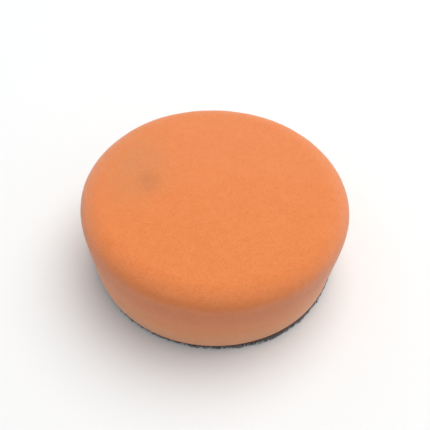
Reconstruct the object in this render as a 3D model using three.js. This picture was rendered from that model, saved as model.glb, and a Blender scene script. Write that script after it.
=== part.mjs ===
// A round foam polishing pad for a small rotary or dual-action polisher.
// A thick disc of open-cell foam carries a hook-and-loop fabric on its back: the fabric is laminated to the foam
// with a film of hot-melt adhesive. The pad lies with its loop side down and its working face up.
// Frame: millimetres, +Z up, origin at the centre of the loop side, where the pad meets a backing plate.
import * as THREE from "three";

// Driving dimensions.
const FACE_DIAMETER = 80; // the widest place, where the side meets the rounded edge
const BACKING_DIAMETER = 75; // the loop fabric, cut for a 3 inch backing plate
const FOAM_THICKNESS = 25.4;
const ADHESIVE_THICKNESS = 0.3;
const GROUND_THICKNESS = 0.7; // the knitted ground of the loop fabric
const PILE_THICKNESS = 1.2; // the raised loops below the ground
const EDGE_WIDTH = 6.8; // how far the rounded working edge reaches in from the side
const EDGE_DROP = 5.4; // how far the rounded working edge reaches down from the face
const SIDE_EASING = 0.14; // how slowly the side turns from upright, at the widest place, to its slope
const FOOT_OVERHANG = 0.25; // the foam's foot stands this far out past the fabric's cut edge
const ADHESIVE_INSET = 0.5; // the adhesive film ends this far inside it
const PILE_INSET = 0.2; // and so do the loops

// How finely the round surfaces are divided.
const SEGMENTS_AROUND = 96;
const SEGMENTS_IN_EDGE = 10;
const SEGMENTS_IN_SIDE = 8;
const SIDE_CROWDING = 1.5; // draws the side's divisions together at its top, where it bends

const backingRadius = BACKING_DIAMETER / 2;
const faceRadius = FACE_DIAMETER / 2;

const foamMaterial = new THREE.MeshStandardMaterial({ color: 0xef8f57, roughness: 0.95, metalness: 0 });
const adhesiveMaterial = new THREE.MeshStandardMaterial({ color: 0xb9a48c, roughness: 0.45, metalness: 0 });
const groundMaterial = new THREE.MeshStandardMaterial({ color: 0x594844, roughness: 0.9, metalness: 0 });
const pileMaterial = new THREE.MeshStandardMaterial({ color: 0x6c5955, roughness: 1, metalness: 0 });

// A named solid of revolution from its outline, a list of [radius, height] that starts and ends on the axis.
function turned(name, outline, material, base) {
  const points = outline.map(([radius, height]) => new THREE.Vector2(radius, height));
  const mesh = new THREE.Mesh(new THREE.LatheGeometry(points, SEGMENTS_AROUND), material);
  mesh.name = name;
  mesh.position.y = base;
  return mesh;
}

// A flat round layer of the laminate.
function layer(name, radius, thickness, material, base) {
  const outline = [[0, 0], [radius, 0], [radius, thickness], [0, thickness]];
  return turned(name, outline, material, base);
}

// The side's outline from the foot up: a hyperbola that runs nearly straight and ends upright at the widest place.
function easedSide(footRadius, height) {
  const slant = (down) => Math.hypot(down, SIDE_EASING) - SIDE_EASING;
  const points = [];
  for (let i = SEGMENTS_IN_SIDE; i > 0; i--) {
    const down = (i / SEGMENTS_IN_SIDE) ** SIDE_CROWDING;
    const radius = faceRadius - (faceRadius - footRadius) * (slant(down) / slant(1));
    points.push([radius, height * (1 - down)]);
  }
  return points;
}

// The rounded working edge from the widest place up to the flat face: a quarter of an ellipse.
function roundedEdge() {
  const points = [];
  for (let i = 0; i <= SEGMENTS_IN_EDGE; i++) {
    const angle = ((Math.PI / 2) * i) / SEGMENTS_IN_EDGE;
    const radius = faceRadius - EDGE_WIDTH * (1 - Math.cos(angle));
    const height = FOAM_THICKNESS - EDGE_DROP * (1 - Math.sin(angle));
    points.push([radius, height]);
  }
  return points;
}

// The foam: a flat foot, the eased side, the rounded edge and the flat working face.
function foamBody(base) {
  const side = easedSide(backingRadius + FOOT_OVERHANG, FOAM_THICKNESS - EDGE_DROP);
  const outline = [[0, 0], ...side, ...roundedEdge(), [0, FOAM_THICKNESS]];
  return turned("foam_body", outline, foamMaterial, base);
}

// The layers, from the loops up.
const groundBase = PILE_THICKNESS;
const adhesiveBase = groundBase + GROUND_THICKNESS;
const foamBase = adhesiveBase + ADHESIVE_THICKNESS;

const pad = new THREE.Group();
pad.name = "polishing_pad";
pad.rotation.x = Math.PI / 2; // a lathe turns about Y, and the pad stands along Z
pad.add(
  layer("loop_pile", backingRadius - PILE_INSET, PILE_THICKNESS, pileMaterial, 0),
  layer("loop_fabric", backingRadius, GROUND_THICKNESS, groundMaterial, groundBase),
  layer("adhesive_film", backingRadius - ADHESIVE_INSET, ADHESIVE_THICKNESS, adhesiveMaterial, adhesiveBase),
  foamBody(foamBase),
);

export default pad;
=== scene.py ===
# The looks of a round foam polishing pad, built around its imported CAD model.
# Everything is in metres, +Z up. The pad lies loop side down with its working face up.
import math
import random

import bpy
import numpy as np
from mathutils import Matrix, Vector, noise


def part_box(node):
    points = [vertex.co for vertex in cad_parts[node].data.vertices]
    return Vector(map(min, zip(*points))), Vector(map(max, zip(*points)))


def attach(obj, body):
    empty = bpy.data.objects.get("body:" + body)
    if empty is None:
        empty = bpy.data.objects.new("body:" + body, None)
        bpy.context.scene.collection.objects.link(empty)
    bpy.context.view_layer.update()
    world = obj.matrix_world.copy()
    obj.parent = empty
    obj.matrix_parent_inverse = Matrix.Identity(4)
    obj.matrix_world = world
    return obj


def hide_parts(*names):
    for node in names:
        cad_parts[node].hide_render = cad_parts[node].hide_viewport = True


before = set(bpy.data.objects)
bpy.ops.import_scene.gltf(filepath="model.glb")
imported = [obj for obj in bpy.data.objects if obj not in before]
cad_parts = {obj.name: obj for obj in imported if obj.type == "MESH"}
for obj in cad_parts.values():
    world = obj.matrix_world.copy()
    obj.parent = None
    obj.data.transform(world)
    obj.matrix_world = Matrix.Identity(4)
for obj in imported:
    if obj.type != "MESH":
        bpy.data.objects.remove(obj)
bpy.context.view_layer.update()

MM = 0.001
random.seed(7)

# Heights and radii, from the CAD nodes.
foam_low, foam_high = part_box("foam_body")
film_low, film_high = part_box("adhesive_film")
ground_low, ground_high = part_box("loop_fabric")
pile_low, pile_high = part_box("loop_pile")
FACE_RADIUS = foam_high.x
FILM_RADIUS = film_high.x
GROUND_RADIUS = ground_high.x
PILE_RADIUS = pile_high.x

# The foam's outline.
EDGE_WIDTH = 6.8 * MM  # how far the rounded working edge reaches in from the side
EDGE_DROP = 5.4 * MM  # how far it reaches down from the face
SIDE_EASING = 0.14  # how slowly the side turns from upright, at the widest place, to its slope
FOOT_OVERHANG = 0.25 * MM  # how far the foam's foot stands out past the fabric
FOOT_CORNER = (0.1 * MM, 0.12 * MM)  # how wide and how tall the foot's rounded corner is
LIP_GAP = 0.05 * MM  # between the foam's lip and the film and fabric that it closes round

# The foot and the back are smoother than the rest of the foam.
CALM_HEIGHT = 0.5 * MM  # how far above the film they reach
CALM_SHARE = 0.3  # how much of the foam's bumps they keep

# The faint mark on the working face: a small core over a shallow dimple, and a wide halo.
MARK_CENTRE = (-20.0 * MM, 1.4 * MM)
MARK_REACH = (6.0 * MM, 7.0 * MM)
MARK_STRENGTH = 0.30
DIMPLE_RADIUS = 3.2 * MM
DIMPLE_DEPTH = 0.14 * MM
HALO_CENTRE = (-25.0 * MM, 8.0 * MM)
HALO_REACH = (16.0 * MM, 26.0 * MM)
HALO_STRENGTH = 0.30

# The film is a little smaller than its CAD disc, so that the foam's lip clears it.
FILM_INSET = 0.1 * MM
FILM_CORNER = 0.1 * MM  # how wide its rounded edge is

# The fabric was laid on a little off centre, and its cut edge bulges out at the front right.
FABRIC_SHIFT = Vector((0.30, -0.10, 0.0)) * MM
FABRIC_SHRINK = 0.2 * MM
BULGE = 0.55 * MM
BULGE_TURN = math.radians(-62)
BULGE_WIDTH = math.radians(20)
EDGE_WANDER = 0.10 * MM  # how far the rest of the cut edge wanders in and out
WANDERS_PER_RADIAN = 5.0
EDGE_FADE = 5 * MM  # how far in from the edge these moves fade out

# Where the loops of the pile stand.
RIM_SPACING = 0.36 * MM
RIM_DEPTH = 0.5 * MM  # how far in from the edge a loop of the rim may stand
INNER_SPACING = 1.15 * MM
INNER_MARGIN = 0.8 * MM  # from the edge to the first of the inner loops
STRAY = 0.3  # how far a loop strays from its place, as a share of the spacing

# The shape of a loop. A range of three is its least, its most and its usual value.
FILAMENT = 0.085 * MM  # the radius of its thread
LOOP_STEPS = 6
LOOP_HEADING = 0.6  # the way that most loops run, in radians from +X
HEADING_SPREAD = 0.8  # how far they usually turn from it
LOOP_SPAN = (0.5 * MM, 0.9 * MM)  # from foot to foot
LOOP_BELLY = 0.8  # how much it widens on its way down, as a share of the span
LOOP_ROUNDING = 0.7  # a power of its sine curve: below 1, its far end is blunter
LOOP_LEAN = 0.45 * MM  # the most that it leans to either side
LOOP_ROOT = 0.08 * MM  # how far its feet reach up into the ground
LOOP_SHORTFALL = (0.0, 0.45 * MM, 0.08 * MM)  # how far above the bottom of the pile it stops
RIM_LOOP_SIZE = 1.0  # scales the span and the lean
INNER_LOOP_SIZE = 1.6

# The mat of roots that the loops grow from.
MAT_INSET = 0.35 * MM  # how far its edge is inside the fabric's
MAT_CLEARANCE = 0.5 * MM  # from the bottom of the pile up to the mat's rim
MAT_HOLLOW = 0.35 * MM  # how much higher its bottom is inside the rim
MAT_RIM = 1.5 * MM  # how wide the rim is
MAT_RISE = 3.0 * MM  # how far in from the edge the bottom has risen

# The cut filament ends round the fabric's edge.
FRAY_COUNT = 160
FRAY_STEPS = 4
FRAY_FILAMENT = 0.04 * MM
FRAY_SPREAD = 0.5  # how far they usually turn from straight out, in radians
FRAY_ROOT = 0.4 * MM  # how far inside the fabric's edge they start
FRAY_REACH = (0.0, 0.5 * MM, 0.1 * MM)  # how far they reach past the edge
FRAY_DROOP = (0.1 * MM, 0.7 * MM)  # how far their ends hang down
FRAY_TOP_MARGIN = 0.2 * MM  # how far below the top of the ground they stay

# How many squares there are to a side of the cube that each turned piece's mesh is divided as.
FOAM_MESH = 120
FILM_MESH = 48
GROUND_MESH = 90
MAT_MESH = 52

# A surface whose normal has more than this of +Z or -Z belongs to a flat top or bottom.
FLAT = 0.5

# The floor and the wall that it curves up into.
FLOOR_MIDDLE = 0.5  # the radius of the one flat face in its middle
FLOOR_RADIUS = 2.0
SWEEP_RADIUS = 1.0
WALL_HEIGHT = 1.6
FLOOR_SIDES = 96

# One broad lamp overhead, behind the pad and to its right, and an even sky.
LAMP_PLACE = (0.25, 0.29, 0.90)
LAMP_AIM = (0, 0, 0.01)
LAMP_SIZE = 1.0  # across
LAMP_POWER = 7.5  # watts
LAMP_COLOUR = (1.0, 0.95, 0.89)
SKY_COLOUR = (0.985, 0.98, 0.985, 1.0)
SKY_STRENGTH = 0.62

# The camera looks at the middle of the pad from in front and above.
CAMERA_ELEVATION = math.radians(48.5)
CAMERA_ROLL = math.radians(2.19)
CAMERA_DISTANCE = 0.200
CAMERA_LENS = 54.0  # in millimetres, as the sensor's width is
SENSOR_WIDTH = 36.0
CAMERA_SHIFT = (0.0008, 0.0103)
CAMERA_CLIP = 0.01


# ---------------------------------------------------------------- meshes

def new_piece(name, points, faces):
    """A smooth-shaded mesh object of that name, from its points and its faces."""
    mesh = bpy.data.meshes.new(name)
    mesh.from_pydata([tuple(p) for p in points], [], faces)
    mesh.polygons.foreach_set("use_smooth", [True] * len(mesh.polygons))
    mesh.update()
    piece = bpy.data.objects.new(name, mesh)
    bpy.context.scene.collection.objects.link(piece)
    return piece


def join(piece, *others):
    """Makes one mesh of several pieces."""
    with bpy.context.temp_override(active_object=piece, selected_editable_objects=[piece, *others]):
        bpy.ops.object.join()


def cube_sphere(count):
    """Directions and quads of a sphere that is divided as a cube with count by count squares to a side."""
    index, directions, quads = {}, [], []

    def corner(cell):
        if cell not in index:
            index[cell] = len(directions)
            warped = [math.tan(math.pi / 4 * (2 * c / count - 1)) for c in cell]
            directions.append(Vector(warped).normalized())
        return index[cell]

    for axis in range(3):
        for side in (0, count):
            for i in range(count):
                for j in range(count):
                    ring = [(i, j), (i + 1, j), (i + 1, j + 1), (i, j + 1)]
                    if side == 0:
                        ring.reverse()
                    cells = []
                    for u, v in ring:
                        cell = [0, 0, 0]
                        cell[axis] = side
                        cell[(axis + 1) % 3] = u
                        cell[(axis + 2) % 3] = v
                        cells.append(tuple(cell))
                    quads.append([corner(cell) for cell in cells])
    return np.array(directions), quads


def along_outline(stretches, fraction):
    """Radius, height and outward normal at each fraction of the way down an outline. stretches is a list of
    (share of the way, points), where points are (radius, height) from the top to the bottom."""
    shares = np.array([share for share, _ in stretches], float)
    starts = np.concatenate([[0], np.cumsum(shares / shares.sum())])
    places, radii, heights = [], [], []
    for (_, points), start, end in zip(stretches, starts, starts[1:]):
        points = np.array(points, float)
        steps = np.hypot(*np.diff(points, axis=0).T)
        walked = np.concatenate([[0], np.cumsum(steps)]) / steps.sum()
        places.extend(start + (end - start) * walked)
        radii.extend(points[:, 0])
        heights.extend(points[:, 1])

    def at(f):
        f = np.clip(f, 0, 1)
        return np.interp(f, places, radii), np.interp(f, places, heights)

    slope_step = 0.002
    never_zero = 1e-12
    radius, height = at(fraction)
    before, after = at(fraction - slope_step), at(fraction + slope_step)
    run, rise = after[0] - before[0], after[1] - before[1]
    length = np.hypot(run, rise) + never_zero
    return radius, height, -rise / length, run / length


def turned_piece(name, stretches, count, relief):
    """A closed turned solid with nearly square faces. Each stretch of its outline has a share of the mesh.
    relief gives how far each point is moved outwards."""
    directions, quads = cube_sphere(count)
    fraction = np.arccos(np.clip(directions[:, 2], -1, 1)) / math.pi
    turn = np.arctan2(directions[:, 1], directions[:, 0])
    radius, height, out, up = along_outline(stretches, fraction)
    cos, sin = np.cos(turn), np.sin(turn)
    points = np.stack([radius * cos, radius * sin, height], axis=1)
    normals = np.stack([out * cos, out * sin, up], axis=1)
    moved = np.array([relief(Vector(p), Vector(n)) for p, n in zip(points, normals)])
    points += normals * moved[:, None]
    return new_piece(name, points, quads)


def arc(centre, radii, start, end, steps):
    """Points of an elliptic arc, with its angles in degrees."""
    angles = [math.radians(start + (end - start) * i / steps) for i in range(steps + 1)]
    return [(centre[0] + radii[0] * math.cos(a), centre[1] + radii[1] * math.sin(a)) for a in angles]


def bumps(point, per_metre, height, shift=Vector((0, 0, 0))):
    """Smooth random bumps, about per_metre of them to a metre. shift reads them from another place."""
    return noise.noise(point * per_metre + shift) * height


def tubes(name, paths, sides_across, radius, sides=4):
    """Closed round filaments along paths, an array of (filament, step, 3).
    sides_across is a direction for each filament that its path doesn't run along."""
    paths = np.array(paths, float)
    across = np.array(sides_across, float)[:, None, :]
    along = np.gradient(paths, axis=1)
    along /= np.linalg.norm(along, axis=2, keepdims=True)
    second = np.cross(along, across)
    second /= np.linalg.norm(second, axis=2, keepdims=True)
    first = np.cross(second, along)
    angles = 2 * math.pi * np.arange(sides) / sides
    cos, sin = np.cos(angles)[:, None], np.sin(angles)[:, None]
    ring = first[:, :, None] * cos + second[:, :, None] * sin
    points = (paths[:, :, None] + ring * radius).reshape(-1, 3)
    many, steps = paths.shape[:2]
    faces = []
    for f in range(many):
        first_point = f * steps * sides
        for s in range(steps - 1):
            low = first_point + s * sides
            for k in range(sides):
                turn = (k + 1) % sides
                faces.append([low + k, low + turn, low + sides + turn, low + sides + k])
        last = first_point + (steps - 1) * sides
        faces.append([first_point + k for k in reversed(range(sides))])
        faces.append([last + k for k in range(sides)])
    return new_piece(name, points, faces)


# ---------------------------------------------------------------- materials

class Nodes:
    """Short names for building a node material. Textures have their scale as features to a metre."""

    def __init__(self, name):
        self.material = bpy.data.materials.new(name)
        self.material.use_nodes = True
        self.tree = self.material.node_tree
        self.tree.nodes.clear()
        self.place = self.add("ShaderNodeTexCoord").outputs["Object"]

    def add(self, kind, inputs=None, **settings):
        node = self.tree.nodes.new(kind)
        for key, value in settings.items():
            setattr(node, key, value)
        for key, value in (inputs or {}).items():
            self.put(node.inputs[key], value)
        return node

    def put(self, socket, value):
        if isinstance(value, bpy.types.NodeSocket):
            self.tree.links.new(value, socket)
        else:
            socket.default_value = value

    def math(self, operation, a, b=0.0):
        return self.add("ShaderNodeMath", {0: a, 1: b}, operation=operation).outputs[0]

    def vector_math(self, operation, a, b):
        return self.add("ShaderNodeVectorMath", {0: a, 1: b}, operation=operation).outputs[0]

    def noise(self, per_metre, detail=2.0, distortion=0.0):
        inputs = {"Vector": self.place, "Scale": per_metre, "Detail": detail, "Distortion": distortion}
        return self.add("ShaderNodeTexNoise", inputs).outputs["Fac"]

    def cells(self, per_metre, place=None):
        return self.add("ShaderNodeTexVoronoi", {"Vector": place or self.place, "Scale": per_metre})

    def ridges(self, direction, per_metre, distortion):
        inputs = {"Vector": self.place, "Scale": per_metre, "Distortion": distortion, "Detail": 1.0}
        return self.add("ShaderNodeTexWave", inputs, bands_direction=direction).outputs["Fac"]

    def between(self, value, low, high, to_low=0.0, to_high=1.0, smooth=True):
        """value, moved from the range low to high to the range to_low to to_high, and held within it."""
        kind = "SMOOTHSTEP" if smooth else "LINEAR"
        inputs = {"Value": value, "From Min": low, "From Max": high, "To Min": to_low, "To Max": to_high}
        return self.add("ShaderNodeMapRange", inputs, interpolation_type=kind).outputs["Result"]

    def mix(self, share, a, b):
        """Colour a where share is 0, and colour b where it is 1."""
        node = self.add("ShaderNodeMix", data_type="RGBA")
        colour_a, colour_b, mixed_colour = 6, 7, 2
        self.put(node.inputs[0], share)
        self.put(node.inputs[colour_a], a)
        self.put(node.inputs[colour_b], b)
        return node.outputs[mixed_colour]

    def tint(self, colour, mask, strength, other):
        """colour, mixed by strength with the other colour where mask is 1."""
        return self.mix(self.math("MULTIPLY", mask, strength), colour, other)

    def ramp(self, value, stops):
        """A smooth ramp through stops, a list of (value from 0 to 1, colour)."""
        node = self.add("ShaderNodeValToRGB", {0: value})
        node.color_ramp.interpolation = "CARDINAL"
        points = node.color_ramp.elements
        while len(points) < len(stops):
            points.new(0.5)
        for point, (position, colour) in zip(points, stops):
            point.position = position
            point.color = colour
        return node.outputs["Color"]

    def bump(self, height, distance, strength, normal=None):
        inputs = {"Height": height, "Distance": distance, "Strength": strength}
        if normal:
            inputs["Normal"] = normal
        return self.add("ShaderNodeBump", inputs).outputs["Normal"]

    def finish(self, inputs):
        shader = self.add("ShaderNodeBsdfPrincipled", inputs)
        output = self.add("ShaderNodeOutputMaterial")
        self.tree.links.new(shader.outputs[0], output.inputs["Surface"])
        return self.material


def rgb(red, green, blue):
    """An opaque colour, in linear light."""
    return (red, green, blue, 1.0)


def foam_material():
    """Open-cell foam: pores in a softly mottled orange, with painted shade under the working edge and painted
    light from the floor that makes it paler towards the foot, a velvety sheen, and one faint mark on the
    face."""
    n = Nodes("orange_foam")
    height = n.add("ShaderNodeSeparateXYZ", {0: n.place}).outputs[2]
    level = n.between(height, foam_low.z, foam_high.z, smooth=False)
    # The ramp by height paints light and shade into the colour: painted shade darkens the side under the
    # working edge, and painted light from the floor makes the foot paler.
    colour = n.ramp(level, [
        (0.00, rgb(0.798, 0.374, 0.187)),  # the foot
        (0.26, rgb(0.757, 0.278, 0.093)),
        (0.48, rgb(0.703, 0.222, 0.067)),
        (0.70, rgb(0.652, 0.189, 0.054)),  # under the working edge
        (0.90, rgb(0.768, 0.247, 0.086)),
        (1.00, rgb(0.785, 0.243, 0.074)),  # the working face
    ])

    dark_mottle = n.between(n.noise(70, detail=3), 0.3, 0.7)
    colour = n.tint(colour, dark_mottle, 0.10, rgb(0.70, 0.20, 0.06))
    light_mottle = n.between(n.noise(420), 0.35, 0.65)
    colour = n.tint(colour, light_mottle, 0.08, rgb(0.90, 0.36, 0.15))
    pores = foam_pores(n)
    # Painted shade: the pores are darkened where the hollows of the cells would lie in shadow.
    colour = n.tint(colour, pores, 0.36, rgb(0.46, 0.11, 0.028))
    colour = add_mark(n, colour)

    # A surface that is seen at a slant shows more of the fine fuzz on it.
    slant = n.add("ShaderNodeLayerWeight", {"Blend": 0.5}).outputs["Facing"]
    sheen = n.between(slant, 0.20, 0.38, to_low=0.10, to_high=0.37)

    roughness = n.between(n.noise(1500), 0.0, 1.0, to_low=0.86, to_high=0.98, smooth=False)
    uneven = n.bump(n.noise(260, detail=3), distance=0.12 * MM, strength=0.5)
    normal = n.bump(n.math("SUBTRACT", 1.0, pores), distance=0.14 * MM, strength=0.6, normal=uneven)
    return n.finish({
        "Base Color": colour,
        "Roughness": roughness,
        "Normal": normal,
        "IOR": 1.3,
        "Sheen Weight": sheen,
        "Sheen Roughness": 0.5,
        "Sheen Tint": rgb(1.0, 0.97, 1.0),
        "Subsurface Weight": 0.12,
        "Subsurface Radius": (1.0, 0.4, 0.2),
        "Subsurface Scale": 1.2 * MM,
    })


def foam_pores(n):
    """How open the foam is at each place: cut cells 0.4 mm across, each deep or shallow, and finer ones."""
    wide_pores, fine_pores = 2400.0, 5200.0  # to a metre
    most_warp = 0.25 * MM
    wobble = n.add("ShaderNodeTexNoise", {"Vector": n.place, "Scale": wide_pores, "Detail": 1.0})
    warp = n.vector_math("MULTIPLY", wobble.outputs["Color"], (most_warp, most_warp, most_warp))
    warped = n.vector_math("ADD", n.place, warp)

    def holes(per_metre, rim, shallowest):
        """1 in the middle of a hole and 0 from its rim outwards, times a random depth for each hole."""
        cells = n.cells(per_metre, warped)
        luck = n.add("ShaderNodeSeparateColor", {0: cells.outputs["Color"]}).outputs[0]
        depth = n.between(luck, 0.0, 1.0, to_low=shallowest)
        middle = n.between(cells.outputs["Distance"], 0.18, rim, to_low=1.0, to_high=0.0)
        return n.math("MULTIPLY", middle, depth)

    wide = holes(wide_pores, rim=0.56, shallowest=0.30)
    fine = n.math("MULTIPLY", holes(fine_pores, rim=0.52, shallowest=0.0), 0.6)
    return n.math("MAXIMUM", wide, fine)


def add_mark(n, colour):
    """The faint grey mark on the face: a small soft core and a wide halo, both a little blotchy."""
    split = n.add("ShaderNodeSeparateXYZ", {0: n.place})
    blotch = n.between(n.noise(350, detail=3), 0.3, 0.7, to_low=0.75)

    def soft_spot(centre, reach):
        x = n.math("DIVIDE", n.math("SUBTRACT", split.outputs[0], centre[0]), reach[0])
        y = n.math("DIVIDE", n.math("SUBTRACT", split.outputs[1], centre[1]), reach[1])
        far = n.math("SQRT", n.math("ADD", n.math("MULTIPLY", x, x), n.math("MULTIPLY", y, y)))
        spot = n.between(far, 0.0, 1.0, to_low=1.0, to_high=0.0)
        return n.math("MULTIPLY", spot, blotch)

    colour = n.tint(colour, soft_spot(HALO_CENTRE, HALO_REACH), HALO_STRENGTH, rgb(0.46, 0.24, 0.110))
    return n.tint(colour, soft_spot(MARK_CENTRE, MARK_REACH), MARK_STRENGTH, rgb(0.40, 0.145, 0.052))


def film_material():
    """Hot-melt film: amber, with a web of small bubbles."""
    n = Nodes("hot_melt_film")
    bubbles = n.between(n.cells(900).outputs["Distance"], 0.1, 0.5)
    colour = n.mix(bubbles, rgb(0.34, 0.25, 0.16), rgb(0.50, 0.40, 0.29))
    roughness = n.between(n.noise(500, detail=3), 0.3, 0.7, to_low=0.3, to_high=0.6)
    normal = n.bump(bubbles, distance=0.05 * MM, strength=0.6)
    return n.finish({"Base Color": colour, "Roughness": roughness, "Normal": normal})


def ground_material():
    """The knitted ground: rows of small stitches in dark nylon, with a paler fuzz."""
    n = Nodes("knitted_ground")
    wales = n.ridges("X", 450, distortion=1.2)
    courses = n.ridges("Y", 560, distortion=0.8)
    stitches = n.math("MULTIPLY", wales, courses)
    colour = n.mix(stitches, rgb(0.062, 0.039, 0.034), rgb(0.190, 0.122, 0.105))
    fuzz = n.between(n.noise(2500, detail=3), 0.5, 0.75)
    colour = n.tint(colour, fuzz, 0.35, rgb(0.22, 0.150, 0.132))
    roughness = n.between(n.noise(900), 0.3, 0.7, to_low=0.72, to_high=0.95)
    normal = n.bump(stitches, distance=0.12 * MM, strength=0.8)
    return n.finish({"Base Color": colour, "Roughness": roughness, "Normal": normal, "Sheen Weight": 0.2})


def pile_material():
    """The loops: dark nylon, lighter and darker from place to place, with a soft gloss."""
    n = Nodes("nylon_loops")
    strands = n.between(n.noise(800), 0.3, 0.7)
    colour = n.mix(strands, rgb(0.072, 0.045, 0.040), rgb(0.245, 0.162, 0.143))
    roughness = n.between(n.noise(1600), 0.3, 0.7, to_low=0.42, to_high=0.7)
    normal = n.bump(n.noise(6000, detail=1), distance=0.02 * MM, strength=0.4)
    return n.finish({"Base Color": colour, "Roughness": roughness, "Normal": normal, "Sheen Weight": 0.3})


def mat_material():
    """The matted roots of the loops: darker than the loops with painted shade, with a tangle of fibres."""
    n = Nodes("matted_roots")
    tangle = n.between(n.noise(1300, detail=4, distortion=3), 0.35, 0.65)
    # Painted shade: the roots are darkened as the shade that falls among the loops.
    colour = n.mix(tangle, rgb(0.030, 0.019, 0.017), rgb(0.120, 0.080, 0.071))
    roughness = n.between(tangle, 0.0, 1.0, to_low=0.95, to_high=0.75)
    normal = n.bump(tangle, distance=0.12 * MM, strength=0.8)
    return n.finish({"Base Color": colour, "Roughness": roughness, "Normal": normal, "Sheen Weight": 0.15})


def floor_material():
    """A plain pale floor with a very fine grain."""
    n = Nodes("pale_floor")
    grain = n.noise(300, detail=3)
    colour = n.tint(rgb(0.855, 0.885, 0.905), grain, 0.05, rgb(0.825, 0.855, 0.875))
    normal = n.bump(grain, distance=0.02 * MM, strength=0.2)
    return n.finish({"Base Color": colour, "Roughness": 0.9, "Normal": normal})


# ---------------------------------------------------------------- the foam

def foam_relief(point, normal):
    """How far the foam's surface stands off its outline: slow unevenness, fine grain and a shallow dimple."""
    off = bumps(point, per_metre=45, height=0.16 * MM)
    off += bumps(point, per_metre=170, height=0.06 * MM, shift=Vector((3.1, 0.4, 7.7)))
    off += bumps(point, per_metre=900, height=0.022 * MM)
    if normal.z > FLAT:
        far = math.hypot(point.x - MARK_CENTRE[0], point.y - MARK_CENTRE[1]) / DIMPLE_RADIUS
        off -= DIMPLE_DEPTH * math.exp(-far * far)
    if point.z < film_high.z + CALM_HEIGHT:
        off *= CALM_SHARE
    return off


def eased_side(top, bottom, steps):
    """The side's outline: upright at its top, then on a hyperbola that soon runs straight to its bottom."""
    points = []
    for i in range(steps + 1):
        down = i / steps
        share = math.hypot(down, SIDE_EASING) - SIDE_EASING
        share /= math.hypot(1, SIDE_EASING) - SIDE_EASING
        points.append((top[0] + (bottom[0] - top[0]) * share, top[1] + (bottom[1] - top[1]) * down))
    return points


def build_foam():
    foot_radius = GROUND_RADIUS + FOOT_OVERHANG
    lip_bottom = ground_high.z + LIP_GAP
    lip_inside = FILM_RADIUS + LIP_GAP
    side_top = foam_high.z - EDGE_DROP
    corner_width, corner_height = FOOT_CORNER
    corner_centre = (foot_radius - corner_width, lip_bottom + corner_height)

    edge = arc((FACE_RADIUS - EDGE_WIDTH, side_top), (EDGE_WIDTH, EDGE_DROP), 90, 0, steps=24)
    corner = arc(corner_centre, FOOT_CORNER, 0, -90, steps=6)
    face = [(0, foam_high.z), edge[0]]
    side = eased_side((FACE_RADIUS, side_top), corner[0], steps=40)
    lip = [corner[-1], (lip_inside, lip_bottom), (lip_inside, foam_low.z)]
    back = [lip[-1], (0, foam_low.z)]
    stretches = [(0.38, face), (0.16, edge), (0.22, side), (0.02, corner), (0.02, lip), (0.20, back)]

    foam = turned_piece("polishing_foam", stretches, FOAM_MESH, foam_relief)
    foam.data.materials.append(foam_material())
    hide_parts("foam_body")
    return foam


# ---------------------------------------------------------------- the film and the fabric

def build_film():
    flat_radius = FILM_RADIUS - FILM_INSET - FILM_CORNER
    middle, half = (film_low.z + film_high.z) / 2, (film_high.z - film_low.z) / 2
    top = [(0, film_high.z), (flat_radius, film_high.z)]
    edge = arc((flat_radius, middle), (FILM_CORNER, half), 90, -90, steps=8)
    bottom = [(flat_radius, film_low.z), (0, film_low.z)]

    def relief(point, normal):
        if abs(normal.z) > FLAT:
            return 0.0
        return bumps(point, per_metre=260, height=0.12 * MM)

    stretches = [(0.45, top), (0.10, edge), (0.45, bottom)]
    film = turned_piece("hot_melt_layer", stretches, FILM_MESH, relief)
    film.data.materials.append(film_material())
    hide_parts("adhesive_film")
    return film


def spread_edge(piece):
    """Moves the fabric's edge in and out to its cut shape. The move fades out a few millimetres inside it."""
    for vertex in piece.data.vertices:
        x, y, _ = vertex.co
        radius = math.hypot(x, y)
        share = (radius - (GROUND_RADIUS - EDGE_FADE)) / EDGE_FADE
        if share <= 0:
            continue
        turn = math.atan2(y, x)
        out = BULGE * math.exp(-((turn - BULGE_TURN) / BULGE_WIDTH) ** 2)
        out += bumps(Vector((math.cos(turn), math.sin(turn), 0)), WANDERS_PER_RADIAN, EDGE_WANDER)
        scale = 1 + min(share, 1) * out / radius
        vertex.co.x = x * scale
        vertex.co.y = y * scale


def build_ground():
    low, high = ground_low.z, ground_high.z
    middle, half = (low + high) / 2, (high - low) / 2
    flat_radius = GROUND_RADIUS - FABRIC_SHRINK - half
    top = [(0, high), (flat_radius, high)]
    edge = arc((flat_radius, middle), (half, half), 90, -90, steps=12)
    bottom = [(flat_radius, low), (0, low)]

    def relief(point, normal):
        if normal.z > FLAT:
            return 0.0
        if normal.z < -FLAT:
            return bumps(point, per_metre=900, height=0.05 * MM)
        return bumps(point, per_metre=300, height=0.14 * MM) + bumps(point, per_metre=1500, height=0.09 * MM)

    stretches = [(0.40, top), (0.10, edge), (0.50, bottom)]
    ground = turned_piece("loop_ground_cloth", stretches, GROUND_MESH, relief)
    spread_edge(ground)
    ground.location = FABRIC_SHIFT
    ground.data.materials.append(ground_material())
    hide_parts("loop_fabric")
    return ground


def rim_places():
    """Where the loops round the rim stand: one close, uneven row."""
    places = []
    count = int(2 * math.pi * PILE_RADIUS / RIM_SPACING)
    for i in range(count):
        turn = 2 * math.pi * (i + random.uniform(-STRAY, STRAY)) / count
        radius = PILE_RADIUS - random.uniform(0.0, RIM_DEPTH)
        places.append((radius * math.cos(turn), radius * math.sin(turn)))
    return places


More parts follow.
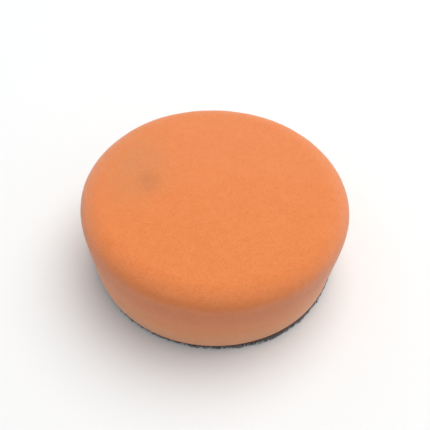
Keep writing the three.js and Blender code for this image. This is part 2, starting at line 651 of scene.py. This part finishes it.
def inner_places():
    """Where the loops inside the rim stand: an uneven grid, with every second row moved half a step along."""
    places = []
    reach = PILE_RADIUS - INNER_MARGIN
    count = int(reach / INNER_SPACING) + 1
    for i in range(-count, count + 1):
        for j in range(-count, count + 1):
            x = (i + 0.5 * (j % 2) + random.uniform(-STRAY, STRAY)) * INNER_SPACING
            y = (j + random.uniform(-STRAY, STRAY)) * INNER_SPACING
            if math.hypot(x, y) < reach:
                places.append((x, y))
    return places


def loop_path(x, y, size):
    """One loop of pile, from foot to foot, and the direction across it."""
    heading = random.gauss(LOOP_HEADING, HEADING_SPREAD)
    span = random.uniform(*LOOP_SPAN) * size
    lean = random.uniform(-LOOP_LEAN, LOOP_LEAN) * size
    top = pile_high.z + LOOP_ROOT
    drop = top - FILAMENT - random.triangular(*LOOP_SHORTFALL) - pile_low.z
    forward = Vector((math.cos(heading), math.sin(heading), 0))
    across = Vector((-forward.y, forward.x, 0))
    path = []
    for step in range(LOOP_STEPS + 1):
        t = step / LOOP_STEPS
        fall = math.sin(math.pi * t) ** LOOP_ROUNDING
        swing = (t - 0.5) * span * (1 + LOOP_BELLY * fall)
        path.append(Vector((x, y, top - drop * fall)) + forward * swing + across * (lean * fall))
    return path, across


def build_loops(name, places, size, sides):
    """A loop of pile at each place, all in one piece."""
    paths, across = zip(*[loop_path(x, y, size) for x, y in places])
    return tubes(name, paths, across, FILAMENT, sides)


def build_mat():
    """The matted roots of the loops, under the ground: an uneven layer, thicker at its soft edge."""
    radius = PILE_RADIUS - FABRIC_SHRINK - MAT_INSET
    high, low = pile_high.z, pile_low.z + MAT_CLEARANCE
    inside = low + MAT_HOLLOW
    middle, half = (low + high) / 2, (high - low) / 2
    top = [(0, high), (radius - half, high)]
    edge = arc((radius - half, middle), (half, half), 90, -90, steps=12)
    rim = [(radius - half, low), (radius - MAT_RIM, low), (radius - MAT_RISE, inside)]
    bottom = [(radius - MAT_RISE, inside), (0, inside)]

    def relief(point, normal):
        if normal.z > FLAT:
            return 0.0
        return bumps(point, per_metre=700, height=0.2 * MM) + bumps(point, per_metre=1900, height=0.1 * MM)

    stretches = [(0.20, top), (0.14, edge), (0.06, rim), (0.60, bottom)]
    mat = turned_piece("loop_mat", stretches, MAT_MESH, relief)
    mat.data.materials.append(mat_material())
    return mat


def build_pile():
    pile = build_loops("loop_pile_strands", rim_places(), RIM_LOOP_SIZE, sides=4)
    pile.data.materials.append(pile_material())
    inner = build_loops("inner_loops", inner_places(), INNER_LOOP_SIZE, sides=3)
    inner.data.materials.append(pile.data.materials[0])
    join(pile, inner, build_mat())
    spread_edge(pile)
    pile.location = FABRIC_SHIFT
    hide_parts("loop_pile")
    return pile


def fray_path():
    """One cut filament end, from its root outwards and down, and the direction across it."""
    turn = random.uniform(0, 2 * math.pi)
    heading = turn + random.gauss(0, FRAY_SPREAD)
    height = random.uniform(ground_low.z, ground_high.z - FRAY_TOP_MARGIN)
    length = random.triangular(*FRAY_REACH) + FRAY_ROOT
    droop = random.uniform(*FRAY_DROOP)
    root = Vector((math.cos(turn), math.sin(turn), 0)) * (GROUND_RADIUS - FABRIC_SHRINK - FRAY_ROOT)
    forward = Vector((math.cos(heading), math.sin(heading), 0))
    path = []
    for step in range(FRAY_STEPS + 1):
        t = step / FRAY_STEPS
        path.append(root + forward * (t * length) + Vector((0, 0, height - droop * t * t)))
    return path, (-forward.y, forward.x, 0)


def build_fray():
    """Cut filament ends that stand out of the fabric's edge."""
    paths, across = zip(*[fray_path() for _ in range(FRAY_COUNT)])
    fray = tubes("fabric_edge_fray", paths, across, FRAY_FILAMENT)
    spread_edge(fray)
    fray.location = FABRIC_SHIFT
    fray.data.materials.append(bpy.data.materials["knitted_ground"])
    return fray


# ---------------------------------------------------------------- the studio

def build_floor():
    """A round floor that curves up into a low wall all round, so that no view shows where it ends."""
    sweep = arc((FLOOR_RADIUS, SWEEP_RADIUS), (SWEEP_RADIUS, SWEEP_RADIUS), -90, 0, steps=24)
    outline = [(FLOOR_MIDDLE, 0.0), *sweep, (FLOOR_RADIUS + SWEEP_RADIUS, WALL_HEIGHT)]
    turns = [2 * math.pi * i / FLOOR_SIDES for i in range(FLOOR_SIDES)]
    points = [(r * math.cos(t), r * math.sin(t), z) for r, z in outline for t in turns]
    faces = [list(range(FLOOR_SIDES))]
    for ring in range(len(outline) - 1):
        for i in range(FLOOR_SIDES):
            first, second = ring * FLOOR_SIDES + i, ring * FLOOR_SIDES + (i + 1) % FLOOR_SIDES
            faces.append([first, first + FLOOR_SIDES, second + FLOOR_SIDES, second])
    floor = new_piece("floor", points, faces)
    floor.data.materials.append(floor_material())


def build_lamp():
    data = bpy.data.lights.new("overhead", "AREA")
    data.shape = "DISK"
    data.size = LAMP_SIZE
    data.energy = LAMP_POWER
    data.color = LAMP_COLOUR
    lamp = bpy.data.objects.new("overhead", data)
    lamp.location = LAMP_PLACE
    aim = Vector(LAMP_AIM) - Vector(LAMP_PLACE)
    lamp.rotation_euler = aim.to_track_quat("-Z", "Y").to_euler()
    bpy.context.scene.collection.objects.link(lamp)


def build_sky():
    world = bpy.data.worlds.new("studio")
    world.use_nodes = True
    background = world.node_tree.nodes["Background"]
    background.inputs["Color"].default_value = SKY_COLOUR
    background.inputs["Strength"].default_value = SKY_STRENGTH
    bpy.context.scene.world = world
    bpy.context.scene.view_settings.view_transform = "Standard"


def build_camera():
    target = Vector((0, 0, (foam_high.z + pile_low.z) / 2))
    away = Vector((0, -math.cos(CAMERA_ELEVATION), math.sin(CAMERA_ELEVATION)))
    data = bpy.data.cameras.new("camera")
    data.sensor_width = SENSOR_WIDTH
    data.lens = CAMERA_LENS
    data.shift_x, data.shift_y = CAMERA_SHIFT
    data.clip_start = CAMERA_CLIP
    camera = bpy.data.objects.new("camera", data)
    camera.location = target + away * CAMERA_DISTANCE
    look = (-away).to_track_quat("-Z", "Y").to_matrix().to_4x4()
    camera.rotation_euler = (look @ Matrix.Rotation(CAMERA_ROLL, 4, "Z")).to_euler()
    bpy.context.scene.collection.objects.link(camera)
    bpy.context.scene.camera = camera


build_camera()
foam = build_foam()
film = build_film()
ground = build_ground()
pile = build_pile()
fray = build_fray()
for piece in (foam, film, ground, pile, fray):
    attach(piece, "root")
build_floor()
build_lamp()
build_sky()
